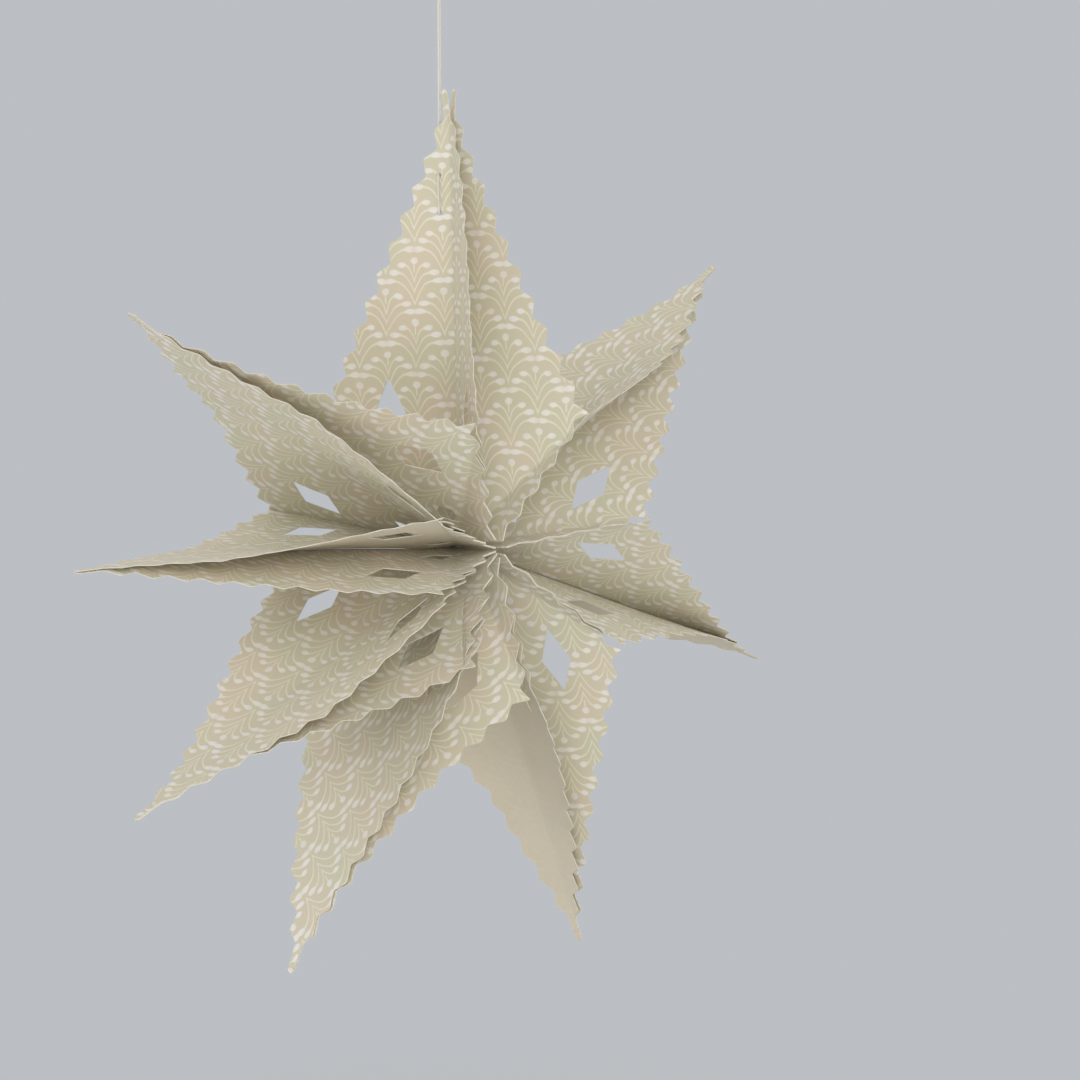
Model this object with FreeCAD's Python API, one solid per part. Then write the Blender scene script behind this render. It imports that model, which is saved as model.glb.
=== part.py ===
import FreeCAD, Part
import math
import os

# Hanging paper star with eight points.
# Sixteen toothed leaves are folded lengthwise and glued back to back in pairs, one pair
# to a point. The leaves on both sides of the space between two points are glued at their
# side corners, in front and behind, so that the star stands open.
# Millimetres. +Z is up along the thread, and the front of the star faces -Y.
# The origin is the knot that the thread hangs from.

# The flat leaf, before folding. Lengths run along the fold from the inner end, and
# offsets run across it, to each side.
LEAF_LENGTH = 187.0
CORNER_REACH = 54.2
CORNER_OFFSET = 58.2
INNER_END_HALF_WIDTH = 26.0
TIP_LENGTH = 5.0
TIP_HALF_WIDTH = 1.6
PAPER = 0.35

# Toothed edges
OUTER_TEETH = 11
INNER_TEETH = 5
TOOTH_DEPTH = 4.0
NECK_HALF_WIDTH = 1.9

# Diamond windows in each half of a leaf: a large one and a small one near the centre
WINDOW_REACH = 55.0
WINDOW_OFFSET = 28.0
WINDOW_LENGTH = 28.5
WINDOW_WIDTH = 13.5
SMALL_WINDOW_REACH = 19.0
SMALL_WINDOW_OFFSET = 10.5
SMALL_WINDOW_LENGTH = 17.0
SMALL_WINDOW_WIDTH = 6.5

# How far the star opens between one point and the next, in degrees, clockwise from the
# point that it hangs by. The shares fill the circle.
OPENINGS = (53.0, 57.0, 50.0, 49.0, 31.5, 30.5, 30.5, 58.5)
FIRST_POINT_LEAN = -1.5
# The leaf of the first point whose windows stay uncut
PLAIN_LEAF = "point_1_leaf_cw"

# Two punched holes in the leaf that the thread carries, in the half behind its fold
HUNG_LEAF = "point_1_leaf_ccw"
EYELETS = ((152.0, 5.3), (136.7, 5.2))
EYELET_DIAMETER = 2.2
STAR_CENTRE = (6.0, -4.9, -240.0)

# The thread: cotton, doubled, and knotted at the top. Both strands start in the middle of
# the stitch between the holes. One goes through the upper hole and the other through the
# lower one, and both run up behind the leaf to the knot.
THREAD_DIAMETER = 0.8
UPPER_STRAND = (
    (-1.44, -0.97, -95.0),
    (-1.67, -0.93, -87.4),
    (-0.17, -0.01, -87.4),
    (-0.45, 0.0, -2.0),
)
LOWER_STRAND = (
    (-1.44, -0.97, -95.0),
    (-1.21, -1.01, -102.7),
    (0.67, 0.14, -102.7),
    (0.45, 0.05, -2.0),
)
ARC_SHARE = 0.45
KNOT_DIAMETER = 3.6
KNOT_BEVEL = 0.7

FRONT = FreeCAD.Vector(0, -1, 0)
CENTRE = FreeCAD.Vector(*STAR_CENTRE)


def toothed_edge(start, end, teeth):
    """Points of a zigzag from start to end, with its peaks on the line between them."""
    run = end - start
    along = FreeCAD.Vector(run).normalize()
    inward = FreeCAD.Vector(along.y, -along.x, 0)
    pitch = run.Length / teeth
    points = []
    for tooth in range(teeth):
        valley = start + along * (pitch * (tooth + 0.5)) + inward * TOOTH_DEPTH
        valley.y = max(valley.y, NECK_HALF_WIDTH)
        points.append(valley)
        if tooth < teeth - 1:
            points.append(start + along * (pitch * (tooth + 1)))
    return points


def diamond(reach, offset, length, width):
    """A flat diamond whose long diagonal lies along the fold."""
    corners = [
        FreeCAD.Vector(reach - length / 2, offset, 0),
        FreeCAD.Vector(reach, offset + width / 2, 0),
        FreeCAD.Vector(reach + length / 2, offset, 0),
        FreeCAD.Vector(reach, offset - width / 2, 0),
    ]
    return Part.Face(Part.makePolygon(corners + corners[:1]))


def flat_half(windows, eyelets):
    """One half of the unfolded leaf, with the fold along the X axis."""
    inner = FreeCAD.Vector(0, INNER_END_HALF_WIDTH, 0)
    corner = FreeCAD.Vector(CORNER_REACH, CORNER_OFFSET, 0)
    tip = FreeCAD.Vector(LEAF_LENGTH - TIP_LENGTH, TIP_HALF_WIDTH, 0)
    outline = [FreeCAD.Vector(0, 0, 0), inner]
    outline += toothed_edge(inner, corner, INNER_TEETH)
    outline.append(corner)
    outline += toothed_edge(corner, tip, OUTER_TEETH)
    outline.append(tip)
    outline.append(FreeCAD.Vector(LEAF_LENGTH - TIP_HALF_WIDTH, TIP_HALF_WIDTH, 0))
    outline.append(FreeCAD.Vector(LEAF_LENGTH, 0, 0))
    face = Part.Face(Part.makePolygon(outline + outline[:1]))
    if windows:
        large = diamond(WINDOW_REACH, WINDOW_OFFSET, WINDOW_LENGTH, WINDOW_WIDTH)
        small = diamond(
            SMALL_WINDOW_REACH, SMALL_WINDOW_OFFSET, SMALL_WINDOW_LENGTH, SMALL_WINDOW_WIDTH
        )
        face = face.cut([large, small])
    for reach, offset in eyelets:
        rim = Part.Circle(FreeCAD.Vector(reach, offset, 0), FreeCAD.Vector(0, 0, 1), EYELET_DIAMETER / 2)
        face = face.cut(Part.Face(Part.Wire(rim.toShape())))
    return face


def placed(faces, origin, x_axis, y_axis):
    """Faces of the flat sheet, laid with their X and Y along the given directions."""
    z_axis = x_axis.cross(y_axis)
    matrix = FreeCAD.Matrix(
        x_axis.x, y_axis.x, z_axis.x, origin.x,
        x_axis.y, y_axis.y, z_axis.y, origin.y,
        x_axis.z, y_axis.z, z_axis.z, origin.z,
        0, 0, 0, 1,
    )
    moved = []
    for face in faces:
        copy = face.copy()
        copy.Placement = FreeCAD.Placement(matrix)
        moved.append(copy)
    return moved


def half_leaf(face, axis, toward, outward, opening):
    """Solids of one half of a leaf: its plane side and the flap that is glued to its neighbour.

    axis runs along the fold, toward points at the neighbouring point of the star, and
    outward is the star's front or back.
    """
    half_opening = opening / 2
    across = CORNER_REACH * math.tan(half_opening) / CORNER_OFFSET
    fold = math.acos(across)
    wall = PAPER / math.sin(fold)
    start = wall / math.tan(half_opening)
    origin = CENTRE + axis * start + toward * wall
    side = toward * math.cos(fold) + outward * math.sin(fold)

    diagonal = math.hypot(CORNER_REACH, CORNER_OFFSET)
    along = (axis * CORNER_REACH + side * CORNER_OFFSET) * (1 / diagonal)
    rise = (outward - along * outward.dot(along)).normalize()
    flap_x = along * (CORNER_REACH / diagonal) - rise * (CORNER_OFFSET / diagonal)
    flap_y = along * (CORNER_OFFSET / diagonal) + rise * (CORNER_REACH / diagonal)

    reach = 4 * LEAF_LENGTH
    below = [
        FreeCAD.Vector(0, 0, 0),
        FreeCAD.Vector(CORNER_REACH, CORNER_OFFSET, 0) * (reach / diagonal),
        FreeCAD.Vector(reach, 0, 0),
    ]
    plane_side = Part.Face(Part.makePolygon(below + below[:1]))
    sides = placed(face.common(plane_side).Faces, origin, axis, side)
    flaps = placed(face.cut(plane_side).Faces, origin, flap_x, flap_y)
    return [sheet.extrude(toward * -wall) for sheet in sides + flaps]


def leaf(name, angle, turn, opening):
    """A folded leaf whose fold runs out at angle, clockwise from straight up."""
    axis = FreeCAD.Vector(math.sin(angle), 0, math.cos(angle))
    toward = FreeCAD.Vector(math.cos(angle), 0, -math.sin(angle)) * turn
    windows = name != PLAIN_LEAF
    front = half_leaf(flat_half(windows, ()), axis, toward, FRONT, opening)
    eyelets = EYELETS if name == HUNG_LEAF else ()
    back = half_leaf(flat_half(windows, eyelets), axis, toward, FRONT * -1, opening)
    solids = front + back
    return solids[0].multiFuse(solids[1:]).removeSplitter()


def write(name, shape):
    """One file for each piece, with its count of solids for the reader."""
    print(name, len(shape.Solids), shape.isValid(), round(shape.Volume, 1))
    shape.exportStep("parts/" + name + ".step")


def leaves():
    """Both leaves of every space between two points."""
    angle = math.radians(FIRST_POINT_LEAN)
    count = len(OPENINGS)
    for cell in range(count):
        opening = 2 * math.pi * OPENINGS[cell] / sum(OPENINGS)
        following = (cell + 1) % count
        for point, turn, hand, heading in (
            (cell, 1, "cw", angle),
            (following, -1, "ccw", angle + opening),
        ):
            name = "point_%d_leaf_%s" % (point + 1, hand)
            write(name, leaf(name, heading, turn, opening))
        angle += opening


def strand(name, route):
    """A tube of straight runs and tangent arcs along the points of a strand's route."""
    points = [FreeCAD.Vector(*point) for point in route]
    edges = []
    last = points[0]
    length = 0
    for before, corner, after in zip(points, points[1:], points[2:]):
        back = before - corner
        ahead = after - corner
        trim = ARC_SHARE * min(back.Length, ahead.Length)
        back.normalize()
        ahead.normalize()
        half_turn = (math.pi - back.getAngle(ahead)) / 2
        radius = trim / math.tan(half_turn)
        into = corner + back * trim
        out = corner + ahead * trim
        middle = (back + ahead).normalize() * (radius / math.cos(half_turn) - radius)
        edges.append(Part.LineSegment(last, into).toShape())
        edges.append(Part.Arc(into, corner + middle, out).toShape())
        length += (into - last).Length + radius * 2 * half_turn
        last = out
        print(name, "arc radius", round(radius, 2))
    edges.append(Part.LineSegment(last, points[-1]).toShape())
    length += (points[-1] - last).Length
    start = (points[1] - points[0]).normalize()
    section = Part.Circle(points[0], start, THREAD_DIAMETER / 2)
    tube = Part.Wire(edges).makePipeShell([Part.Wire(section.toShape())], True, True)
    area = math.pi * THREAD_DIAMETER**2 / 4
    print(name, "length", round(length, 1), "volume share", round(tube.Volume / (area * length), 4))
    write(name, tube)


def knot():
    """The knot that ties both strands together, on the flat ends of the strands."""
    low = UPPER_STRAND[-1][2]
    base = FreeCAD.Vector(0, 0, low)
    blob = Part.makeCylinder(KNOT_DIAMETER / 2, -2 * low, base)
    write("thread_knot", blob.makeChamfer(KNOT_BEVEL, blob.Edges[:1] + blob.Edges[2:]))


os.makedirs("parts", exist_ok=True)
leaves()
strand("thread_upper_strand", UPPER_STRAND)
strand("thread_lower_strand", LOWER_STRAND)
knot()
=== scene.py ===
import math

import bpy
import numpy as np
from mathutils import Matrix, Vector
from mathutils.geometry import delaunay_2d_cdt


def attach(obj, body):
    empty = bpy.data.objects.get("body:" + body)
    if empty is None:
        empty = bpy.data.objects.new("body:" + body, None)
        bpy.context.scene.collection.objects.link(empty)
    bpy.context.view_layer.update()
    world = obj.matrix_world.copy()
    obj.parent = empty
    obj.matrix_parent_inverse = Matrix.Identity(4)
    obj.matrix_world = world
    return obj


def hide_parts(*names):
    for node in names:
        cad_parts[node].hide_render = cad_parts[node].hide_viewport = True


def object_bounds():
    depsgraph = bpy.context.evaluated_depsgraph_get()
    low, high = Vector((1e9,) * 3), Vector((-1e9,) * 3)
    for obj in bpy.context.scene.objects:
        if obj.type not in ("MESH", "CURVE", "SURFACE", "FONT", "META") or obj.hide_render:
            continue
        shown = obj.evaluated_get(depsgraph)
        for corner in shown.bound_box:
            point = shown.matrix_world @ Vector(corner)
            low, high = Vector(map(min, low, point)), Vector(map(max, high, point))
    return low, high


bl_info = {
    "name": "Hanging Paper Star",
    "version": (1, 0, 0),
    "blender": (4, 5, 0),
    "location": "View3D > Sidebar > Paper Star",
    "description": "Folded paper star with printed, toothed leaves on a doubled cotton thread",
    "category": "Object",
}

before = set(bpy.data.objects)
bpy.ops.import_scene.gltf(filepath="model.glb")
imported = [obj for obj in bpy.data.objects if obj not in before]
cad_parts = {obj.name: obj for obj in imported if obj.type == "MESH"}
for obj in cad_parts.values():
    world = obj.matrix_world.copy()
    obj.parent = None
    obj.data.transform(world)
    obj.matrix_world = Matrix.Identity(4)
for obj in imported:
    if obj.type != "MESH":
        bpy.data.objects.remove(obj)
CAD_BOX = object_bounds()

MM = 0.001
# The star, as it is folded: its centre, the lean of its first point, and how far it opens
# from each point to the next, clockwise from the front
CENTRE = Vector((6.0, -4.9, -240.0)) * MM
FIRST_LEAN = -1.5
OPENINGS = (53.0, 57.0, 50.0, 49.0, 31.5, 30.5, 30.5, 58.5)

# How the paper of each leaf departs from flat, in millimetres. First the belly of its front
# half and of its back half, each with its skew to the side corner: above 0 into the space
# that the leaf closes. Then how far its own tip stands off, the side that is printed (1 faces
# clockwise), and the turn and shift of the print.
LEAVES = {
    "point_1_leaf_cw": ((-6.9, -0.4), (0.0, 0.0), 2.4, -1, 0, (0, 0)),
    "point_1_leaf_ccw": ((-1.9, 3.3), (2.0, 4.5), 2.4, -1, 0, (6, 4)),
    "point_2_leaf_cw": ((2.3, -0.3), (-4.0, 1.0), 0.0, -1, 100, (3, 9)),
    "point_2_leaf_ccw": ((-11.6, 4.4), (-6.5, 2.4), 0.0, -1, 95, (1, 2)),
    "point_3_leaf_cw": ((-8.5, 1.5), (-5.0, 1.5), 0.0, -1, 80, (7, 5)),
    "point_3_leaf_ccw": ((-5.9, 6.0), (-4.0, 2.0), 0.0, 1, 90, (2, 11)),
    "point_4_leaf_cw": ((-6.3, -1.4), (-13.2, 1.4), 0.0, -1, 10, (4, 1)),
    "point_4_leaf_ccw": ((-4.4, 5.8), (-4.0, 2.0), 0.0, 1, 5, (9, 7)),
    "point_5_leaf_cw": ((-5.4, -1.9), (-13.7, 6.9), 0.0, 1, -60, (5, 3)),
    "point_5_leaf_ccw": ((-8.7, 1.0), (-4.0, 2.0), 0.0, 1, -70, (8, 8)),
    "point_6_leaf_cw": ((-9.0, 2.0), (-0.8, 7.0), 0.0, 1, 0, (2, 6)),
    "point_6_leaf_ccw": ((-3.3, 8.6), (-4.0, 2.0), 0.0, 1, -5, (6, 12)),
    "point_7_leaf_cw": ((-5.8, 3.4), (-8.8, 2.2), 0.0, 1, -40, (3, 2)),
    "point_7_leaf_ccw": ((3.5, 1.0), (-4.0, 2.0), 0.0, 1, -40, (7, 9)),
    "point_8_leaf_cw": ((-7.0, 1.3), (-5.0, 1.0), 0.0, -1, 90, (1, 5)),
    "point_8_leaf_ccw": ((-8.0, 1.0), (-8.2, 8.7), 0.0, -1, 95, (5, 1)),
}
# How far the tip of each point bends, and how far its middle sways: clockwise, and to the
# front, in millimetres
BENDS = (
    ((0.0, 0.0), (0.0, 0.0)),
    ((-1.8, 4.4), (-0.6, -0.1)),
    ((0.2, 1.2), (-0.8, 1.4)),
    ((1.0, 0.9), (0.6, 0.1)),
    ((0.3, -1.9), (4.8, -1.7)),
    ((0.7, -0.3), (-1.2, 0.2)),
    ((1.1, 1.0), (3.3, -0.5)),
    ((1.4, -0.5), (-1.8, -0.5)),
)
UNCUT_LEAF = "point_1_leaf_cw"
HUNG_LEAF = "point_1_leaf_ccw"

# Millimetres on the flat leaf, along its fold and across it
EYELETS = ((152.0, -5.3), (136.7, -5.2))
EYELET_RADIUS = 1.1
# Diamond windows in each half: reach, offset, length and width
WINDOWS = ((55.0, 28.0, 28.5, 13.5), (19.0, 10.5, 17.0, 6.5))
# How far from a corner of the cut its rounding starts
VALLEY_TRIM = 0.9 * MM
PEAK_TRIM = 1.3 * MM
INNER_TRIM = 0.8 * MM
CORNER_TRIM = 1.2 * MM
NECK_TRIM = 0.5 * MM
TIP_TRIM = 0.9 * MM
TIP_BEVEL = 1.2 * MM
# Rows of mesh points beside each fold, the strip that they fill, and the room left at a cut
FOLD_ROW = 0.8 * MM
FOLD_STRIP = 1.9 * MM
CUT_ROOM = 0.75 * MM
GRID_HALF_WIDTH = 62 * MM

# Reaches along the fold where the tip starts to bend, where its end starts to stand off, and
# where the sway starts, and the length from there to the middle of the sway
BEND_START = 105 * MM
END_START = 158 * MM
SWAY_START = 20 * MM
HALF_SWAY = 83.5 * MM
# A belly is full where the distances from the fold and from the crease multiply to this
BELLY_AREA = 2000 * MM * MM
FREE_RIPPLE = 2.0 * MM
# Over about this distance, a leaf that would cross the other leaf of its point is eased off it
LEAF_EASE = 0.15 * MM

# Shares of a strand's diameter
PLY_OFFSET = 0.27
PLY_RADIUS = 0.29
# The thread, by the control points of its strands and of its knot
UPPER_STRAND = (
    (-1.44, -0.97, -95.0),
    (-1.67, -0.93, -87.4),
    (-0.17, -0.01, -87.4),
    (-0.18, -0.01, -82.4),
    (-0.45, 0.0, -2.0),
)
LOWER_STRAND = (
    (-1.44, -0.97, -95.0),
    (-1.21, -1.01, -102.7),
    (0.67, 0.14, -102.7),
    (0.66, 0.14, -97.7),
    (0.45, 0.05, -2.0),
)
KNOT = (
    (-0.45, 0.0, -2.6),
    (-0.9, -0.6, -1.2),
    (-0.2, -1.2, 0.2),
    (1.1, -0.5, 0.9),
    (1.0, 0.9, 0.1),
    (-0.5, 1.2, -0.6),
    (-1.2, 0.2, 0.4),
    (-0.4, -0.8, 1.3),
    (0.5, -0.2, 0.4),
    (0.7, 0.3, -0.9),
    (0.2, 0.1, 0.6),
    (0.1, 0.0, 2.0),
)

# The colour of the backdrop, and where the middle of the star lies in the picture, in its pixels
HAZE = (0.50, 0.52, 0.55)
PICTURE = 1080.0
STAR_IN_PICTURE = (459.0, 546.1)


def colour(name, text, value):
    return bpy.props.FloatVectorProperty(
        name=name, description=text, subtype="COLOR", size=3, min=0, max=1, default=value
    )


def length(name, text, value):
    return bpy.props.FloatProperty(
        name=name, description=text, default=value * MM, min=0, unit="LENGTH", precision=5
    )


class PaperSettings(bpy.types.PropertyGroup):
    """The leaf that is cut sixteen times, and the paper that it is cut from."""

    leaf_length: length("Leaf length", "From the inner end of the fold to the tip", 187.0)
    corner_reach: length("Corner reach", "Side corner, measured along the fold", 54.2)
    corner_offset: length("Corner offset", "Side corner, measured across the fold", 58.2)
    inner_half_width: length("Inner end", "Half the width of the end at the centre", 26.0)
    tip_length: length("Tip length", "Narrow end past the last tooth", 5.0)
    tip_half_width: length("Tip half width", "Half the width of the narrow end", 1.6)
    neck_half_width: length("Neck half width", "Least half width between teeth", 1.9)
    tooth_depth: length("Tooth depth", "Depth of the cut between two teeth", 4.2)
    outer_teeth: bpy.props.IntProperty(
        name="Outer teeth", description="Teeth from the side corner to the tip", default=11
    )
    inner_teeth: bpy.props.IntProperty(
        name="Inner teeth", description="Teeth from the inner end to the side corner", default=5
    )
    thickness: length("Paper", "Thickness of the paper", 0.34)
    mesh_pitch: length("Mesh pitch", "Distance between points of the sheet", 2.3)
    ground: colour("Ground", "Ground of the printed side", (0.59, 0.58, 0.44))
    blush: colour("Blush", "Warmer clouds in the ground", (0.65, 0.575, 0.455))
    frond: colour("Frond", "Drawn lines of the print", (0.76, 0.735, 0.62))
    bud: colour("Bud", "Round ends of the drawn lines", (0.79, 0.765, 0.74))
    plain: colour("Plain side", "Unprinted side of the paper", (0.64, 0.575, 0.45))
    cut_edge: colour("Cut edge", "Torn fibres along every cut", (0.70, 0.66, 0.56))
    column: bpy.props.FloatProperty(
        name="Column pitch", description="Millimetres from plume to plume across", default=12.2
    )
    row: bpy.props.FloatProperty(
        name="Row pitch", description="Millimetres from plume to plume along", default=25.6
    )


class ThreadSettings(bpy.types.PropertyGroup):
    """The cotton thread and its knot."""

    diameter: length("Diameter", "Diameter of one strand", 0.8)
    twist: length("Twist", "Length of one full turn of the plies", 3.2)
    plies: bpy.props.IntProperty(name="Plies", description="Yarns in one strand", default=3)
    cotton: colour("Cotton", "Colour of the thread", (0.80, 0.77, 0.70))


class StageSettings(bpy.types.PropertyGroup):
    """Where the star is seen from, and its light."""

    azimuth: bpy.props.FloatProperty(
        name="Azimuth",
        description="Camera, round to the left of the front, in degrees",
        default=42.2,
    )
    elevation: bpy.props.FloatProperty(
        name="Elevation", description="Camera above level, in degrees", default=3.96
    )
    distance: length("Distance", "Camera to the middle of the star", 1190.0)
    lens: bpy.props.FloatProperty(name="Lens", description="Focal length in mm", default=95.7)
    key: bpy.props.FloatProperty(name="Key light", description="Power in watts", default=4.0)
    fill: bpy.props.FloatProperty(name="Fill light", description="Power in watts", default=1.9)


class Wires:
    """Adds nodes to a tree. A number or colour goes onto a socket, and a socket is linked to it."""

    def __init__(self, tree):
        self.tree = tree

    def add(self, kind, settings=None, **inputs):
        node = self.tree.nodes.new(kind)
        for name, value in (settings or {}).items():
            setattr(node, name, value)
        for name, value in inputs.items():
            self.feed(node.inputs[name.replace("_", " ")], value)
        return node

    def feed(self, socket, value):
        if isinstance(value, Sum):
            value = value.socket
        if isinstance(value, bpy.types.NodeSocket):
            self.tree.links.new(value, socket)
        else:
            socket.default_value = value

    def maths(self, operation, *values):
        node = self.tree.nodes.new("ShaderNodeMath")
        node.operation = operation
        for socket, value in zip(node.inputs, values):
            self.feed(socket, value)
        return Sum(self, node.outputs[0])

    def vector(self, x, y, z):
        node = self.tree.nodes.new("ShaderNodeCombineXYZ")
        for socket, value in zip(node.inputs, (x, y, z)):
            self.feed(socket, value)
        return node.outputs[0]

    def parts(self, vector):
        node = self.tree.nodes.new("ShaderNodeSeparateXYZ")
        self.feed(node.inputs[0], vector)
        return [Sum(self, socket) for socket in node.outputs]


class Sum:
    """A number in a node tree. Its sums become Math nodes."""

    def __init__(self, wires, socket):
        self.wires = wires
        self.socket = socket

    def __add__(self, other):
        return self.wires.maths("ADD", self, other)

    def __sub__(self, other):
        return self.wires.maths("SUBTRACT", self, other)

    def __rsub__(self, other):
        return self.wires.maths("SUBTRACT", other, self)

    def __mul__(self, other):
        return self.wires.maths("MULTIPLY", self, other)

    def __truediv__(self, other):
        return self.wires.maths("DIVIDE", self, other)

    def __neg__(self):
        return self * -1.0

    def root(self):
        return self.wires.maths("SQRT", self)

    def size(self):
        return self.wires.maths("ABSOLUTE", self)

    def most(self, other):
        return self.wires.maths("MAXIMUM", self, other)

    def least(self, other):
        return self.wires.maths("MINIMUM", self, other)

    def wrapped(self, span):
        return self.wires.maths("WRAP", self, span / 2, -span / 2)

    def step(self, low, high):
        """0 at low and 1 at high, smoothly."""
        node = self.wires.tree.nodes.new("ShaderNodeMapRange")
        node.interpolation_type = "SMOOTHSTEP"
        for name, value in (("Value", self), ("From Min", low), ("From Max", high)):
            self.wires.feed(node.inputs[name], value)
        return Sum(self.wires, node.outputs[0])


def tree_inputs(tree, sockets):
    for name, kind in sockets:
        tree.interface.new_socket(name, in_out="INPUT", socket_type="NodeSocket" + kind)
    tree.interface.new_socket("Geometry", in_out="OUTPUT", socket_type="NodeSocketGeometry")


def apply_tree(piece, tree, values):
    """Runs a node tree on a piece and keeps its result as the piece's plain mesh."""
    modifier = piece.modifiers.new(tree.name, "NODES")
    modifier.node_group = tree
    for item in tree.interface.items_tree:
        if item.in_out == "INPUT" and item.name in values:
            modifier[item.identifier] = values[item.name]
    graph = bpy.context.evaluated_depsgraph_get()
    mesh = bpy.data.meshes.new_from_object(
        piece.evaluated_get(graph), preserve_all_data_layers=True, depsgraph=graph
    )
    piece.modifiers.remove(modifier)
    old = piece.data
    piece.data = mesh
    mesh.name = piece.name
    bpy.data.meshes.remove(old)


def add_object(name, mesh):
    piece = bpy.data.objects.new(name, mesh)
    bpy.context.scene.collection.objects.link(piece)
    return piece


# The flat leaf


def rounded(corners, trims):
    """The corners of an open path, each replaced by a short arc that starts trims away."""
    path = [corners[0]]
    for before, corner, after, trim in zip(corners, corners[1:], corners[2:], trims):
        back = (before - corner).normalized()
        ahead = (after - corner).normalized()
        start = corner + back * trim
        end = corner + ahead * trim
        for share in (0.0, 0.25, 0.5, 0.75, 1.0):
            path.append(
                start * (1 - share) ** 2 + corner * 2 * share * (1 - share) + end * share**2
            )
    path.append(corners[-1])
    return path


def toothed_edge(start, end, teeth, paper):
    """Corners of a zigzag cut, with its peaks on the line from start to end."""
    run = end - start
    inward = Vector((run.y, -run.x)).normalized()
    corners = []
    for tooth in range(teeth):
        valley = start + run * ((tooth + 0.5) / teeth) + inward * paper.tooth_depth
        valley.y = max(valley.y, paper.neck_half_width)
        corners.append((valley, VALLEY_TRIM))
        if tooth < teeth - 1:
            corners.append((start + run * ((tooth + 1) / teeth), PEAK_TRIM))
    return corners


def diamond(reach, offset, long, wide):
    middle = Vector((reach, offset))
    corners = [
        middle + Vector((-long / 2, 0)),
        middle + Vector((0, wide / 2)),
        middle + Vector((long / 2, 0)),
        middle + Vector((0, -wide / 2)),
    ]
    return [corner * MM for corner in corners]


def half_outline(paper):
    """The cut edge of one half of the leaf, from the inner end of the fold to the tip."""
    inner = Vector((0, paper.inner_half_width))
    corner = Vector((paper.corner_reach, paper.corner_offset))
    tip = Vector((paper.leaf_length - paper.tip_length, paper.tip_half_width))
    bends = [(Vector((0, 0)), 0.0), (inner, INNER_TRIM)]
    bends += toothed_edge(inner, corner, paper.inner_teeth, paper)
    bends.append((corner, CORNER_TRIM))
    bends += toothed_edge(corner, tip, paper.outer_teeth, paper)
    bends.append((tip, NECK_TRIM))
    bevel = Vector((paper.leaf_length - TIP_BEVEL, paper.tip_half_width))
    bends.append((bevel, TIP_TRIM))
    bends.append((Vector((paper.leaf_length, 0)), 0.0))
    path = rounded([point for point, trim in bends], [trim for point, trim in bends[1:-1]])
    shortest = 1.6 * MM
    dense = [path[0]]
    for point in path[1:]:
        gap = point - dense[-1]
        count = max(1, round(gap.length / shortest))
        last = dense[-1]
        dense += [last + gap * (step / count) for step in range(1, count + 1)]
    return dense


def inside(points, loop):
    """Which points lie inside a closed loop."""
    x, y = points[:, 0][:, None], points[:, 1][:, None]
    x0, y0 = loop[:, 0], loop[:, 1]
    x1, y1 = np.roll(x0, -1), np.roll(y0, -1)
    rise = np.where(y1 == y0, 1e-12, y1 - y0)
    crosses = ((y0 > y) != (y1 > y)) & (x < x0 + (y - y0) * (x1 - x0) / rise)
    return crosses.sum(axis=1) % 2 == 1


def clearance(points, loop):
    """Distance from each point to the nearest edge of a closed loop."""
    start, end = loop, np.roll(loop, -1, axis=0)
    run = end - start
    square = np.maximum((run**2).sum(axis=1), 1e-12)
    rel = points[:, None, :] - start[None]
    share = np.clip((rel * run[None]).sum(axis=2) / square, 0, 1)
    return np.sqrt(((rel - run[None] * share[..., None]) ** 2).sum(axis=2)).min(axis=1)


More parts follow.
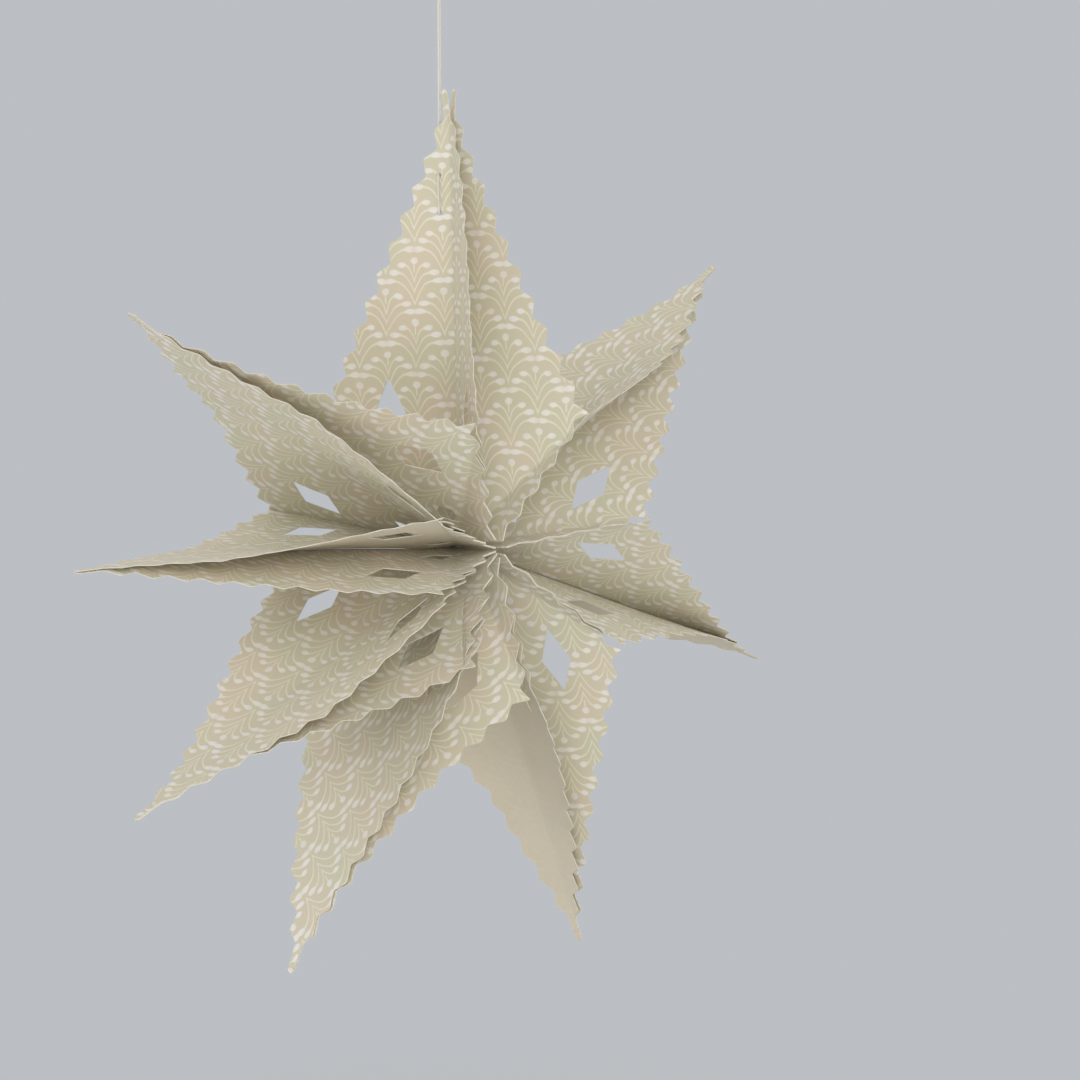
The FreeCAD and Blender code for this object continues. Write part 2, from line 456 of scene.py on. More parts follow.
def flat_leaf(name, paper, windows, eyelets):
    """The leaf as it is cut from the sheet, in small triangles, with the fold along X."""
    half = half_outline(paper)
    loops = [half + [Vector((p.x, -p.y)) for p in half[-2:0:-1]]]
    if windows:
        for side in (1, -1):
            for reach, offset, long, wide in WINDOWS:
                loops.append(diamond(reach, side * offset, long, wide))
    for reach, offset in eyelets:
        turns = [math.tau * step / 20 for step in range(20)]
        ring = []
        for turn in turns:
            x = reach + EYELET_RADIUS * math.cos(turn)
            y = offset + EYELET_RADIUS * math.sin(turn)
            ring.append(Vector((x, y)) * MM)
        loops.append(ring)
    fine = []
    for loop in loops:
        ring = []
        for start, end in zip(loop, loop[1:] + loop[:1]):
            count = max(1, round((end - start).length / (1.8 * MM)))
            ring += [start + (end - start) * (step / count) for step in range(count)]
        fine.append(np.array([tuple(point) for point in ring]))

    pitch = paper.mesh_pitch
    corner = Vector((paper.corner_reach, paper.corner_offset))
    along, across = corner.normalized()
    lines = []
    for run in np.arange(pitch, paper.leaf_length, pitch):
        lines += [(run, row * FOLD_ROW) for row in (-1, 0, 1)]
        if run < corner.length:
            for row in (-1, 0, 1):
                gap = row * FOLD_ROW
                x = run * along - gap * across
                y = run * across + gap * along
                lines += [(x, y), (x, -y)]
    lines = np.array(lines)
    xs, ys = np.meshgrid(
        np.arange(0, paper.leaf_length, pitch),
        np.arange(-GRID_HALF_WIDTH, GRID_HALF_WIDTH, pitch * 0.87),
    )
    xs[::2] += pitch / 2
    grid = np.stack([xs.ravel(), ys.ravel()], axis=1)
    height = np.abs(grid[:, 1])
    from_diagonal = np.abs(height * along - grid[:, 0] * across)
    grid = grid[(height > FOLD_STRIP) & (from_diagonal > FOLD_STRIP)]
    free = np.concatenate([lines, grid])
    keep = inside(free, fine[0])
    for loop in fine[1:]:
        keep &= ~inside(free, loop)
    for loop in fine:
        keep &= clearance(free, loop) > CUT_ROOM
    free = free[keep]

    points = [Vector(point) for point in np.concatenate(fine + [free])]
    edges = []
    base = 0
    for loop in fine:
        count = len(loop)
        edges += [(base + step, base + (step + 1) % count) for step in range(count)]
        base += count
    found, _, faces, _, _, _ = delaunay_2d_cdt(points, edges, [], 0, 1e-7)
    flat = np.array([tuple(point) for point in found])
    faces = np.array(faces)
    middles = flat[faces].mean(axis=1)
    keep = inside(middles, fine[0])
    for loop in fine[1:]:
        keep &= ~inside(middles, loop)
    faces = faces[keep]
    corners = flat[faces]
    first, second = corners[:, 1] - corners[:, 0], corners[:, 2] - corners[:, 0]
    turned = first[:, 0] * second[:, 1] - first[:, 1] * second[:, 0] < 0
    faces[turned] = faces[turned][:, ::-1]
    mesh = bpy.data.meshes.new(name)
    mesh.from_pydata([(x, y, 0.0) for x, y in flat], [], faces.tolist())
    return mesh


# The fold


def folding_tree():
    """Folds the flat leaf, bends it, stands it in the star and gives it thickness."""
    tree = bpy.data.node_groups.new("fold_leaf", "GeometryNodeTree")
    tree_inputs(
        tree,
        (
            ("Geometry", "Geometry"),
            ("Heading", "Float"),
            ("Opening", "Float"),
            ("Turn", "Float"),
            ("Centre", "Vector"),
            ("Corner Reach", "Float"),
            ("Corner Offset", "Float"),
            ("Leaf Length", "Float"),
            ("Paper", "Float"),
            ("Front Belly", "Float"),
            ("Front Skew", "Float"),
            ("Back Belly", "Float"),
            ("Back Skew", "Float"),
            ("Tip Clockwise", "Float"),
            ("Tip Front", "Float"),
            ("Tip Apart", "Float"),
            ("Sway Clockwise", "Float"),
            ("Sway Front", "Float"),
            ("Ripple", "Float"),
            ("Ripple Seed", "Float"),
            ("Print Shift", "Vector"),
            ("Print Turn", "Float"),
            ("Cell Side", "Material"),
            ("Point Side", "Material"),
            ("Cut Edge", "Material"),
        ),
    )
    wires = Wires(tree)
    entry = wires.add("NodeGroupInput")
    given = {socket.name: Sum(wires, socket) for socket in entry.outputs if socket.name}

    position = wires.add("GeometryNodeInputPosition").outputs[0]
    turned = wires.add(
        "ShaderNodeVectorRotate",
        {"rotation_type": "Z_AXIS"},
        Vector=position,
        Angle=given["Print Turn"],
    )
    shifted = wires.add("ShaderNodeVectorMath", {"operation": "ADD"})
    wires.feed(shifted.inputs[0], turned.outputs[0])
    wires.feed(shifted.inputs[1], given["Print Shift"])
    scaled = wires.add("ShaderNodeVectorMath", {"operation": "SCALE"}, Scale=2.0)
    wires.feed(scaled.inputs[0], shifted.outputs[0])
    stored = wires.add(
        "GeometryNodeStoreNamedAttribute",
        {"data_type": "FLOAT2", "domain": "CORNER"},
        Geometry=given["Geometry"],
        Name="print",
        Value=scaled.outputs[0],
    )

    x, y, _ = wires.parts(position)
    half = given["Opening"] * 0.5
    reach, offset = given["Corner Reach"], given["Corner Offset"]
    diagonal = (reach * reach + offset * offset).root()
    cx, cy = reach / diagonal, offset / diagonal
    cos_fold = reach * wires.maths("TANGENT", half) / offset
    sin_fold = (1.0 - cos_fold * cos_fold).root()
    side = wires.maths("SIGN", y)
    across = y.size()
    # Along the crease of the flap, and away from it: past it, and short of it
    run = x * cx + across * cy
    beyond = across * cx - x * cy
    past = (beyond + (beyond * beyond + (0.5 * MM) ** 2).root()) * 0.5
    short = past - beyond
    crease_toward = cy * cos_fold
    crease_out = cy * sin_fold
    rise = (1.0 - crease_out * crease_out).root()
    lean = crease_out / rise * past
    fold_x = run * cx + short * cy - lean * cx
    fold_toward = run * crease_toward - short * cx * cos_fold - lean * crease_toward
    fold_out = run * crease_out - short * cx * sin_fold + past * rise
    softened = (1.0 - across / (1.2 * MM)).most(0.0)
    glued = (1.0 - across / (10 * MM)).most(0.0)
    fold_toward = fold_toward + (softened * softened - glued) * cos_fold * (0.6 * MM)

    # Belly and ripple of the free sides, which stop short of the leaf they are glued to
    front = (side + 1.0) * 0.5
    skew = 1.0 - (x - reach) * 2.0 / (given["Leaf Length"] - reach)
    belly = (given["Front Belly"] + given["Front Skew"] * skew) * front
    belly = belly + (given["Back Belly"] + given["Back Skew"] * skew) * (1.0 - front)
    belly = belly * across * short / BELLY_AREA
    noise = wires.add(
        "ShaderNodeTexNoise",
        {"noise_dimensions": "4D"},
        Vector=position,
        W=given["Ripple Seed"],
        Scale=22.0,
        Detail=1.0,
    )
    ripple = (Sum(wires, noise.outputs["Fac"]) - 0.5) * given["Ripple"]
    free = (across / (14 * MM)).least(1.0) * (short / (22 * MM)).least(1.0)
    belly = belly + ripple * free
    fold_toward = fold_toward + belly * sin_fold
    fold_out = fold_out - belly * cos_fold
    fold_toward = (fold_toward + (fold_toward * fold_toward + LEAF_EASE**2).root()) * 0.5

    # Bends of the tips, and the sway of the middle
    late = ((x - BEND_START) / (given["Leaf Length"] - BEND_START)).most(0.0)
    late = late * late
    last = ((x - END_START) / (given["Leaf Length"] - END_START)).most(0.0)
    sway = (x - SWAY_START).most(0.0) * (given["Leaf Length"] - x) / HALF_SWAY**2
    aside = late * given["Tip Clockwise"] + sway * given["Sway Clockwise"]
    fold_toward = fold_toward + aside * given["Turn"] + last * last * given["Tip Apart"]
    forward = fold_out * side + late * given["Tip Front"] + sway * given["Sway Front"]

    wall = given["Paper"] / sin_fold
    fold_x = fold_x + wall / wires.maths("TANGENT", half)
    sine, cosine = wires.maths("SINE", given["Heading"]), wires.maths("COSINE", given["Heading"])
    toward = fold_toward * given["Turn"]
    placed = wires.vector(
        fold_x * sine + toward * cosine, -forward, fold_x * cosine - toward * sine
    )
    moved = wires.add("ShaderNodeVectorMath", {"operation": "ADD"})
    wires.feed(moved.inputs[0], placed)
    wires.feed(moved.inputs[1], given["Centre"])
    folded = wires.add(
        "GeometryNodeSetPosition", Geometry=stored.outputs[0], Position=moved.outputs[0]
    )
    turned_over = wires.add(
        "GeometryNodeFlipFaces",
        Mesh=folded.outputs[0],
        Selection=wires.maths("LESS_THAN", given["Turn"], 0.0),
    )

    # Thickness: the sheet towards the space, its back, and the cut edge between them
    raised = wires.add(
        "GeometryNodeExtrudeMesh",
        {"mode": "FACES"},
        Mesh=turned_over.outputs[0],
        Offset_Scale=given["Paper"],
    )
    raised.inputs["Individual"].default_value = False
    back = wires.add("GeometryNodeFlipFaces", Mesh=turned_over.outputs[0])
    both = wires.add("GeometryNodeJoinGeometry")
    wires.feed(both.inputs[0], raised.outputs["Mesh"])
    wires.feed(both.inputs[0], back.outputs[0])
    real = wires.add("GeometryNodeRealizeInstances", Geometry=both.outputs[0])
    closed = wires.add("GeometryNodeMergeByDistance", Geometry=real.outputs[0], Distance=1e-6)
    smooth = wires.add("GeometryNodeSetShadeSmooth", Geometry=closed.outputs[0])
    geometry = smooth.outputs[0]
    for material, choice in (
        ("Point Side", True),
        ("Cell Side", raised.outputs["Top"]),
        ("Cut Edge", raised.outputs["Side"]),
    ):
        coat = wires.add(
            "GeometryNodeSetMaterial",
            Geometry=geometry,
            Selection=choice,
            Material=given[material],
        )
        geometry = coat.outputs[0]
    leave = wires.add("NodeGroupOutput")
    wires.feed(leave.inputs[0], geometry)
    return tree


# Finishes


def new_material(name):
    material = bpy.data.materials.new(name)
    material.use_nodes = True
    material.node_tree.nodes.clear()
    wires = Wires(material.node_tree)
    shader = wires.add("ShaderNodeBsdfPrincipled")
    leave = wires.add("ShaderNodeOutputMaterial")
    wires.feed(leave.inputs[0], shader.outputs[0])
    return material, wires, shader


def rgba(value, strength=1.0):
    return (value[0] * strength, value[1] * strength, value[2] * strength, 1.0)


def mixed(wires, share, first, second):
    """A colour between two colours."""
    node = wires.add("ShaderNodeMix", {"data_type": "RGBA"})
    wires.feed(node.inputs["Factor"], share)
    wires.feed(node.inputs[6], first)
    wires.feed(node.inputs[7], second)
    return node.outputs[2]


def noise(wires, vector, scale, detail=2.0, roughness=0.5):
    node = wires.add(
        "ShaderNodeTexNoise", Vector=vector, Scale=scale, Detail=detail, Roughness=roughness
    )
    return Sum(wires, node.outputs["Fac"])


def plumes(wires, x, y, paper):
    """Two masks of the block print, the fronds and their buds, at a place on the sheet in mm."""
    width, height = paper.column * 2, paper.row
    fronds = buds = None
    for shift in (0.0, 0.5):
        px = (x + width * shift).wrapped(width).size()
        py = (y + height * shift).wrapped(height) + 9.0
        for foot, reach, rise, long, wide in (
            (-0.6, 10.4, 9.6, 2.4, 1.25),
            (4.6, 8.6, 7.8, 2.1, 1.25),
            (8.8, 5.4, 6.6, 1.8, 1.2),
        ):
            left = 1.0 - px / reach
            slope = left * left * (3.0 * rise / reach)
            drawn = (1.0 - left * left * left) * rise + foot
            off = (py - drawn).size() / (slope * slope + 1.0).root()
            share = px / reach
            line = (share * share * share * 0.7 + 0.26 - off).step(-0.2, 0.2)
            line = line * (reach + 0.4 - px).step(-0.2, 0.2)
            fronds = line if fronds is None else fronds.most(line)
            dx = (px - reach) / long
            dy = (py - foot - rise) / wide
            ball = (1.0 - (dx * dx + dy * dy).root()).step(-0.22, 0.3)
            buds = ball if buds is None else buds.most(ball)
        stem = (0.3 - px).step(-0.16, 0.16) * (py - 12.5).step(-0.3, 0.3)
        stem = stem * (16.5 - py).step(-0.3, 0.3)
        fronds = fronds.most(stem)
        dx, dy = px / 1.6, (py - 17.3) / 1.5
        buds = buds.most((1.0 - (dx * dx + dy * dy).root()).step(-0.22, 0.3))
    return fronds, buds


def paper_bump(wires, shader, coords, strength):
    """Matted cotton fibres and a slightly uneven sheet."""
    fibres = noise(wires, coords, 900.0, 4.0, 0.65)
    felt = noise(wires, coords, 160.0, 3.0, 0.6)
    bump = wires.add(
        "ShaderNodeBump", Strength=strength, Distance=0.0003, Height=fibres * 0.6 + felt
    )
    wires.feed(shader.inputs["Normal"], bump.outputs[0])
    return fibres, felt


def specks(wires, coords):
    """Sparse dark husks in the paper."""
    cells = wires.add("ShaderNodeTexVoronoi", Vector=coords, Scale=95.0)
    near = Sum(wires, cells.outputs["Distance"])
    chance = wires.parts(cells.outputs["Color"])
    return (1.0 - near.step(0.02, 0.05)) * chance[0].step(0.965, 0.975)


def sheet_place(wires):
    """The place on the printed sheet, in metres and in wandering millimetres."""
    flat = wires.add("ShaderNodeUVMap", {"uv_map": "print"}).outputs[0]
    scaled = wires.add("ShaderNodeVectorMath", {"operation": "SCALE"}, Scale=0.5)
    wires.feed(scaled.inputs[0], flat)
    x, y, _ = wires.parts(scaled.outputs[0])
    wander = wires.add("ShaderNodeTexNoise", Vector=scaled.outputs[0], Scale=110.0, Detail=1.0)
    wander_x, wander_y, _ = wires.parts(wander.outputs["Color"])
    across = x * 1000 + (wander_x - 0.5) * 1.6
    along = y * 1000 + (wander_y - 0.5) * 1.6
    return scaled.outputs[0], across, along


def let_light_through(shader):
    """Thin paper glows a little with the light on its far side."""
    shader.inputs["Subsurface Weight"].default_value = 0.35
    shader.inputs["Subsurface Radius"].default_value = (1.0, 0.85, 0.6)
    shader.inputs["Subsurface Scale"].default_value = 0.6 * MM


def printed_paper(paper):
    """Cream cotton paper, block printed with rows of white plumes."""
    material, wires, shader = new_material("printed_paper_front")
    coords, x, y = sheet_place(wires)
    fibres, felt = paper_bump(wires, shader, coords, 0.35)
    fronds, buds = plumes(wires, y, x, paper)
    cloud = noise(wires, coords, 28.0, 2.0)
    ground = mixed(wires, cloud.step(0.3, 0.7), rgba(paper.ground), rgba(paper.blush))
    ground = mixed(wires, fibres.step(0.55, 0.85) * 0.25, ground, rgba(paper.frond))
    ink = felt.step(0.2, 0.6) * 0.35 + noise(wires, coords, 60.0) * 0.7 + 0.15
    tint = mixed(wires, fronds * ink, ground, rgba(paper.frond))
    tint = mixed(wires, buds * ink, tint, rgba(paper.bud))
    tint = mixed(wires, specks(wires, coords), tint, (0.16, 0.11, 0.07, 1.0))
    wires.feed(shader.inputs["Base Color"], tint)
    let_light_through(shader)
    shader.inputs["Roughness"].default_value = 0.82
    shader.inputs["Specular IOR Level"].default_value = 0.3
    return material


def plain_paper(paper):
    """The unprinted side, with the print showing through faintly."""
    material, wires, shader = new_material("plain_paper_back")
    coords, x, y = sheet_place(wires)
    fibres, _ = paper_bump(wires, shader, coords, 0.45)
    fronds, buds = plumes(wires, y, x, paper)
    cloud = noise(wires, coords, 24.0, 2.0)
    tint = mixed(wires, cloud, rgba(paper.plain, 0.93), rgba(paper.plain, 1.05))
    tint = mixed(wires, fronds.most(buds) * 0.10, tint, rgba(paper.frond))
    tint = mixed(wires, fibres.step(0.55, 0.85) * 0.3, tint, rgba(paper.cut_edge))
    tint = mixed(wires, specks(wires, coords), tint, (0.18, 0.13, 0.08, 1.0))
    wires.feed(shader.inputs["Base Color"], tint)
    let_light_through(shader)
    shader.inputs["Roughness"].default_value = 0.9
    shader.inputs["Specular IOR Level"].default_value = 0.25
    return material


def cut_edge(paper):
    """The cut through the sheet, where its fibres are white."""
    material, wires, shader = new_material("cut_paper_edge")
    coords, _, _ = sheet_place(wires)
    fibres, _ = paper_bump(wires, shader, coords, 0.6)
    torn = fibres.step(0.3, 0.7)
    tint = mixed(wires, torn, rgba(paper.cut_edge, 0.9), rgba(paper.cut_edge))
    wires.feed(shader.inputs["Base Color"], tint)
    shader.inputs["Roughness"].default_value = 0.95
    shader.inputs["Specular IOR Level"].default_value = 0.2
    return material


def cotton(thread):
    """Loosely spun white cotton."""
    material, wires, shader = new_material("spun_cotton")
    coords = wires.add("ShaderNodeTexCoord").outputs["Object"]
    yarn = noise(wires, coords, 2600.0, 3.0, 0.7)
    tint = mixed(wires, yarn.step(0.3, 0.7), rgba(thread.cotton, 0.82), rgba(thread.cotton))
    wires.feed(shader.inputs["Base Color"], tint)
    bump = wires.add("ShaderNodeBump", Strength=0.6, Distance=0.0001, Height=yarn)
    wires.feed(shader.inputs["Normal"], bump.outputs[0])
    shader.inputs["Roughness"].default_value = 0.9
    shader.inputs["Sheen Weight"].default_value = 0.3
    shader.inputs["Specular IOR Level"].default_value = 0.2
    return material


# Thread


def ply_tree():
    """Twists plies round a line, from which it makes a strand."""
    tree = bpy.data.node_groups.new("twist_plies", "GeometryNodeTree")
    tree_inputs(
        tree,
        (
            ("Geometry", "Geometry"),
            ("Diameter", "Float"),
            ("Twist", "Float"),
            ("Plies", "Int"),
            ("Cotton", "Material"),
        ),
    )
    wires = Wires(tree)
    entry = wires.add("NodeGroupInput")
    given = {socket.name: Sum(wires, socket) for socket in entry.outputs if socket.name}
    line = wires.add("GeometryNodeMeshToCurve", Mesh=given["Geometry"])
    steps = wires.add(
        "GeometryNodeResampleCurve", {"mode": "LENGTH"}, Curve=line.outputs[0], Length=0.28 * MM
    )
    copies = wires.add(
        "GeometryNodeDuplicateElements",
        {"domain": "SPLINE"},
        Geometry=steps.outputs[0],
        Amount=given["Plies"],
    )
    travelled = Sum(wires, wires.add("GeometryNodeSplineParameter").outputs["Length"])
    ply = Sum(wires, copies.outputs["Duplicate Index"])
    angle = travelled / given["Twist"] * math.tau + ply / given["Plies"] * math.tau
    tangent = wires.add("GeometryNodeInputTangent").outputs[0]
    normal = wires.add("GeometryNodeInputNormal").outputs[0]
    spin = wires.add(
        "ShaderNodeVectorRotate",
        {"rotation_type": "AXIS_ANGLE"},
        Vector=normal,
        Axis=tangent,
        Angle=angle,
    )
    aside = wires.add(
        "ShaderNodeVectorMath", {"operation": "SCALE"}, Scale=given["Diameter"] * PLY_OFFSET
    )
    wires.feed(aside.inputs[0], spin.outputs[0])
    spread = wires.add(
        "GeometryNodeSetPosition", Geometry=copies.outputs[0], Offset=aside.outputs[0]
    )
    section = wires.add(
        "GeometryNodeCurvePrimitiveCircle", Resolution=8, Radius=given["Diameter"] * PLY_RADIUS
    )
    tube = wires.add(
        "GeometryNodeCurveToMesh",
        Curve=spread.outputs[0],
        Profile_Curve=section.outputs[0],
        Fill_Caps=True,
    )
    smooth = wires.add("GeometryNodeSetShadeSmooth", Geometry=tube.outputs[0])
    real = wires.add("GeometryNodeRealizeInstances", Geometry=smooth.outputs[0])
    coat = wires.add("GeometryNodeSetMaterial", Geometry=real.outputs[0], Material=given["Cotton"])
    leave = wires.add("NodeGroupOutput")
    wires.feed(leave.inputs[0], coat.outputs[0])
    return tree


def smooth_line(name, points):
    """The points of a smooth line that a NURBS spline draws near its control points."""
    curve = bpy.data.curves.new(name, "CURVE")
    curve.dimensions = "3D"
    curve.resolution_u = 24
    spline = curve.splines.new("NURBS")
    spline.points.add(len(points) - 1)
    for target, point in zip(spline.points, points):
        target.co = (point[0] * MM, point[1] * MM, point[2] * MM, 1.0)
    spline.order_u = 3
    spline.use_endpoint_u = True
    holder = add_object(name, curve)
    graph = bpy.context.evaluated_depsgraph_get()
    mesh = bpy.data.meshes.new_from_object(holder.evaluated_get(graph))
    line = [tuple(vertex.co) for vertex in mesh.vertices]
    bpy.data.objects.remove(holder)
    bpy.data.meshes.remove(mesh)
    bpy.data.curves.remove(curve)
    return line


def line_mesh(name, line):
    mesh = bpy.data.meshes.new(name)
    mesh.from_pydata(line, [(step, step + 1) for step in range(len(line) - 1)], [])
    return mesh


def twisted_strand(name, line, thread, material, tree):
    piece = add_object(name, line_mesh(name, line))
    values = {
        "Diameter": thread.diameter,
        "Twist": thread.twist,
        "Plies": thread.plies,
        "Cotton": material,
    }
    apply_tree(piece, tree, values)
    return piece


def finish_material(name, maker, settings):
    """A finish, made once and then shared."""
    return bpy.data.materials.get(name) or maker(settings)


def shared_tree(name, maker):
    return bpy.data.node_groups.get(name) or maker()


class STAR_OT_leaves(bpy.types.Operator):
    """Cut, print and fold the sixteen leaves, and glue them into a star"""

    bl_idname = "star.leaves"
    bl_label = "Paper leaves"

    def execute(self, context):
        paper = context.scene.star_paper
        printed = finish_material("printed_paper_front", printed_paper, paper)
        plain = finish_material("plain_paper_back", plain_paper, paper)
        edge = finish_material("cut_paper_edge", cut_edge, paper)
        tree = shared_tree("fold_leaf", folding_tree)
        blanks = {
            "cut": flat_leaf("flat_cut", paper, True, ()),
            UNCUT_LEAF: flat_leaf("flat_uncut", paper, False, ()),
            HUNG_LEAF: flat_leaf("flat_hung", paper, True, EYELETS),
        }
        heading = math.radians(FIRST_LEAN)
        count = len(OPENINGS)
        for cell in range(count):
            opening = math.tau * OPENINGS[cell] / sum(OPENINGS)
            following = (cell + 1) % count
            for point, turn, hand, angle in (
                (cell, 1, "cw", heading),
                (following, -1, "ccw", heading + opening),
            ):
                node = "point_%d_leaf_%s" % (point + 1, hand)
                front, back, apart, facing, print_turn, shift = LEAVES[node]
                tip, sway = BENDS[point]
                blank = blanks.get(node, blanks["cut"])
                piece = add_object("paper_" + node, blank.copy())
                cell_printed = turn == facing
                values = {
                    "Heading": angle,
                    "Opening": opening,
                    "Turn": float(turn),
                    "Centre": tuple(CENTRE),
                    "Corner Reach": paper.corner_reach,
                    "Corner Offset": paper.corner_offset,
                    "Leaf Length": paper.leaf_length,
                    "Paper": paper.thickness,
                    "Front Belly": front[0] * MM,
                    "Front Skew": front[1] * MM,
                    "Back Belly": back[0] * MM,
                    "Back Skew": back[1] * MM,
                    "Tip Clockwise": tip[0] * MM,
                    "Tip Front": tip[1] * MM,
                    "Sway Clockwise": sway[0] * MM,
                    "Sway Front": sway[1] * MM,
                    "Tip Apart": apart * MM,
                    "Ripple": FREE_RIPPLE,
                    "Ripple Seed": 0.37 * point + 0.13 * turn,
                    "Print Shift": (shift[0] * MM, shift[1] * MM, 0.0),
                    "Print Turn": math.radians(print_turn),
                    "Cell Side": printed if cell_printed else plain,
                    "Point Side": plain if cell_printed else printed,
                    "Cut Edge": edge,
                }
                apply_tree(piece, tree, values)
                piece.data.set_sharp_from_angle(angle=math.radians(60))
                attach(piece, "root")
                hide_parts(node)
            heading += opening
        for blank in blanks.values():
            bpy.data.meshes.remove(blank)
        return {"FINISHED"}


class STAR_OT_thread(bpy.types.Operator):
    """Sew the doubled thread through the top leaf and tie its knot"""

    bl_idname = "star.thread"
    bl_label = "Cotton thread"

    def execute(self, context):
        thread = context.scene.star_thread
        material = finish_material("spun_cotton", cotton, thread)
        tree = shared_tree("twist_plies", ply_tree)
        knot_line = smooth_line("knot_line", KNOT)
        knot = twisted_strand("tied_knot", knot_line, thread, material, tree)
        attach(knot, "root")
        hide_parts("thread_knot")
        for name, route, span in (
            ("upper_strand", UPPER_STRAND, 94.1),
            ("lower_strand", LOWER_STRAND, 109.8),
        ):
            line = smooth_line(name, route)
            strand = twisted_strand("sewn_" + name, line, thread, material, tree)
            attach(strand, "root")
            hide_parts("thread_" + name)
        return {"FINISHED"}


def floor_material(name, tint):
    """A matt pale floor that fades into the backdrop some way from the star."""
    material, wires, shader = new_material(name)
    shader.inputs["Base Color"].default_value = rgba(tint)
    shader.inputs["Roughness"].default_value = 0.9
    shader.inputs["Specular IOR Level"].default_value = 0.1
    x, y, _ = wires.parts(wires.add("ShaderNodeTexCoord").outputs["Object"])
    away = (x * x + y * y).root().step(0.5, 1.6)
    seen = Sum(wires, wires.add("ShaderNodeLightPath").outputs["Is Camera Ray"])
    glow = wires.add("ShaderNodeEmission", Color=rgba(HAZE), Strength=1.0)
    blend = wires.add("ShaderNodeMixShader")
    wires.feed(blend.inputs[0], away * seen)
    wires.feed(blend.inputs[1], shader.outputs[0])
    wires.feed(blend.inputs[2], glow.outputs[0])
    leave = next(node for node in material.node_tree.nodes if node.type == "OUTPUT_MATERIAL")
    wires.feed(leave.inputs[0], blend.outputs[0])
    return material


def area_light(name, place, target, size, power):
    light = bpy.data.lights.new(name, "AREA")
    light.shape = "DISK"
    light.size = size
    light.energy = power
    lamp = add_object(name, light)
    lamp.location = place
    lamp.rotation_euler = (target - place).to_track_quat("-Z", "Y").to_euler()


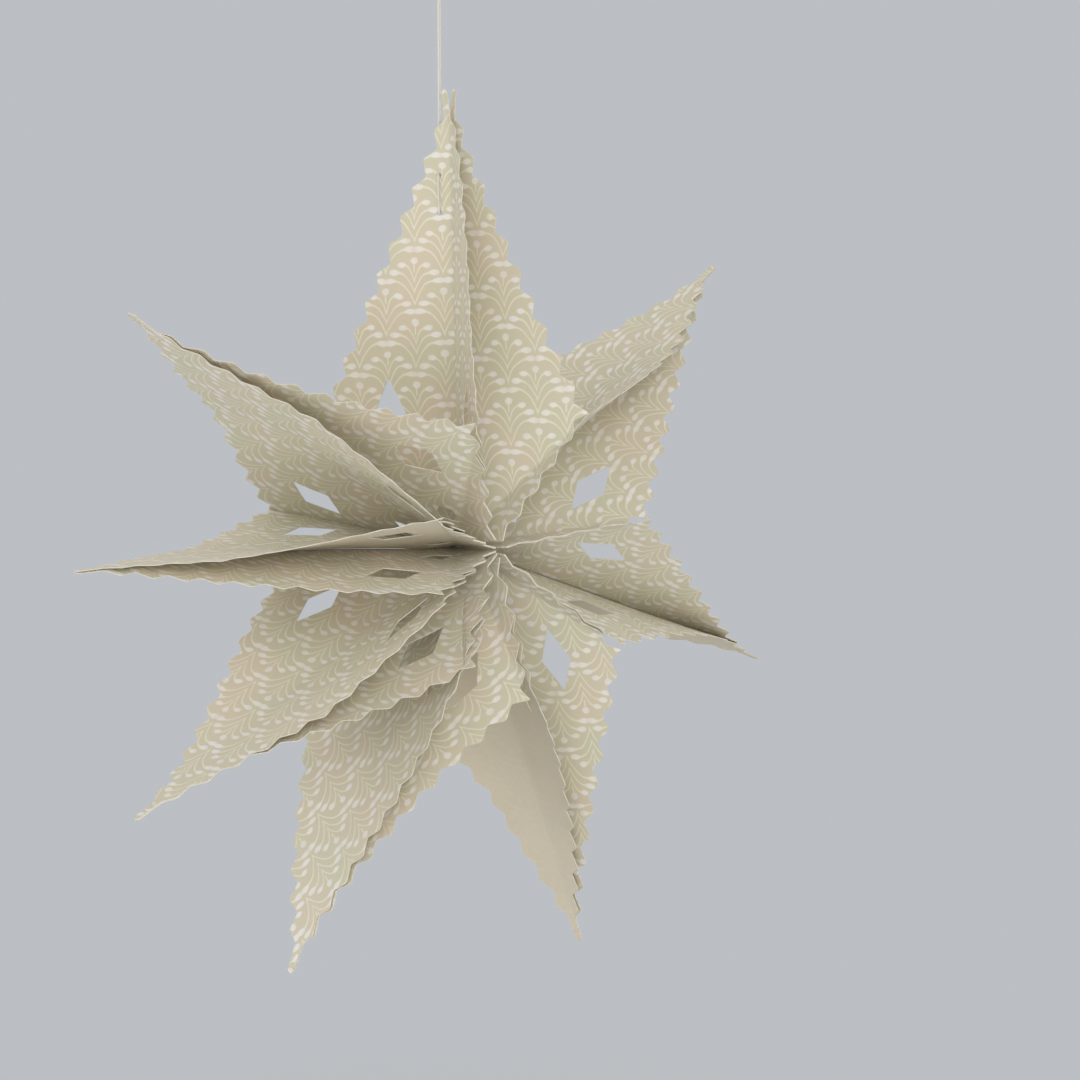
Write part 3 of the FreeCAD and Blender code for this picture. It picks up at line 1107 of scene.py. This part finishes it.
class STAR_OT_stage(bpy.types.Operator):
    """Set the pale floor and backdrop, the lamps and the camera"""

    bl_idname = "star.stage"
    bl_label = "Stage"

    def execute(self, context):
        scene = context.scene
        stage = scene.star_stage
        floor_height = CAD_BOX[0][2] - 0.35
        sweep = [(x, y, floor_height) for x in (-4.0, 4.0) for y in (-4.0, 4.0)]
        floor_mesh = bpy.data.meshes.new("floor")
        floor_mesh.from_pydata(sweep, [], [(0, 2, 3, 1)])
        floor = add_object("floor", floor_mesh)
        floor.data.materials.append(floor_material("pale_floor", (0.62, 0.64, 0.66)))

        world = bpy.data.worlds.new("studio")
        scene.world = world
        world.use_nodes = True
        world.node_tree.nodes.clear()
        wires = Wires(world.node_tree)
        rays = wires.add("ShaderNodeLightPath")
        seen = Sum(wires, rays.outputs["Is Camera Ray"])
        for name in ("Is Glossy Ray", "Is Transmission Ray"):
            seen = seen.most(Sum(wires, rays.outputs[name]))
        sky = wires.add("ShaderNodeBackground", Color=rgba(HAZE), Strength=1.0)
        room = wires.add("ShaderNodeBackground", Color=(1.0, 0.99, 0.97, 1.0), Strength=0.76)
        blend = wires.add("ShaderNodeMixShader")
        wires.feed(blend.inputs[0], seen)
        wires.feed(blend.inputs[1], room.outputs[0])
        wires.feed(blend.inputs[2], sky.outputs[0])
        leave = wires.add("ShaderNodeOutputWorld")
        wires.feed(leave.inputs[0], blend.outputs[0])

        azimuth = math.radians(stage.azimuth)
        elevation = math.radians(stage.elevation)
        out = Vector(
            (
                -math.sin(azimuth) * math.cos(elevation),
                -math.cos(azimuth) * math.cos(elevation),
                math.sin(elevation),
            )
        )
        right = Vector((0, 0, 1)).cross(out).normalized()
        up = out.cross(right)
        # Metres from the star: towards the camera, to the right and up. Then size and power.
        for name, away, aside, above, size, power in (
            ("key_light", 1.35, 0.2, 0.4, 0.6, stage.key),
            ("fill_light", 0.7, 0.05, -0.42, 0.6, stage.fill),
            ("side_light", 0.5, -1.3, 0.1, 0.8, stage.fill),
        ):
            place = CENTRE + out * away + right * aside + up * above
            area_light(name, place, CENTRE, size, power)

        lens = bpy.data.cameras.new("camera")
        lens.lens = stage.lens
        lens.sensor_width = 36.0
        focal = lens.lens / lens.sensor_width * PICTURE
        aside, down = (
            (pixel - PICTURE / 2) * stage.distance / focal for pixel in STAR_IN_PICTURE
        )
        lens.clip_start = 0.01
        camera = add_object("camera", lens)
        camera.location = CENTRE + out * stage.distance - right * aside + up * down
        camera.rotation_euler = out.to_track_quat("Z", "Y").to_euler()
        scene.camera = camera
        scene.view_settings.view_transform = "Standard"
        return {"FINISHED"}


class STAR_PT_panel(bpy.types.Panel):
    """Lists the pieces of the paper star"""

    bl_label = "Paper Star"
    bl_idname = "STAR_PT_panel"
    bl_space_type = "VIEW_3D"
    bl_region_type = "UI"
    bl_category = "Paper Star"

    def draw(self, context):
        layout = self.layout
        for operator in (STAR_OT_leaves, STAR_OT_thread, STAR_OT_stage):
            layout.operator(operator.bl_idname)
        scene = context.scene
        for settings in (scene.star_paper, scene.star_thread, scene.star_stage):
            box = layout.box()
            for name in settings.__annotations__:
                box.prop(settings, name)


CLASSES = (
    PaperSettings,
    ThreadSettings,
    StageSettings,
    STAR_OT_leaves,
    STAR_OT_thread,
    STAR_OT_stage,
    STAR_PT_panel,
)


def register():
    for kind in CLASSES:
        bpy.utils.register_class(kind)
    bpy.types.Scene.star_paper = bpy.props.PointerProperty(type=PaperSettings)
    bpy.types.Scene.star_thread = bpy.props.PointerProperty(type=ThreadSettings)
    bpy.types.Scene.star_stage = bpy.props.PointerProperty(type=StageSettings)


def unregister():
    del bpy.types.Scene.star_stage
    del bpy.types.Scene.star_thread
    del bpy.types.Scene.star_paper
    for kind in reversed(CLASSES):
        bpy.utils.unregister_class(kind)


def main():
    register()
    bpy.ops.star.stage()
    bpy.ops.star.thread()
    bpy.ops.star.leaves()


if __name__ == "__main__":
    main()
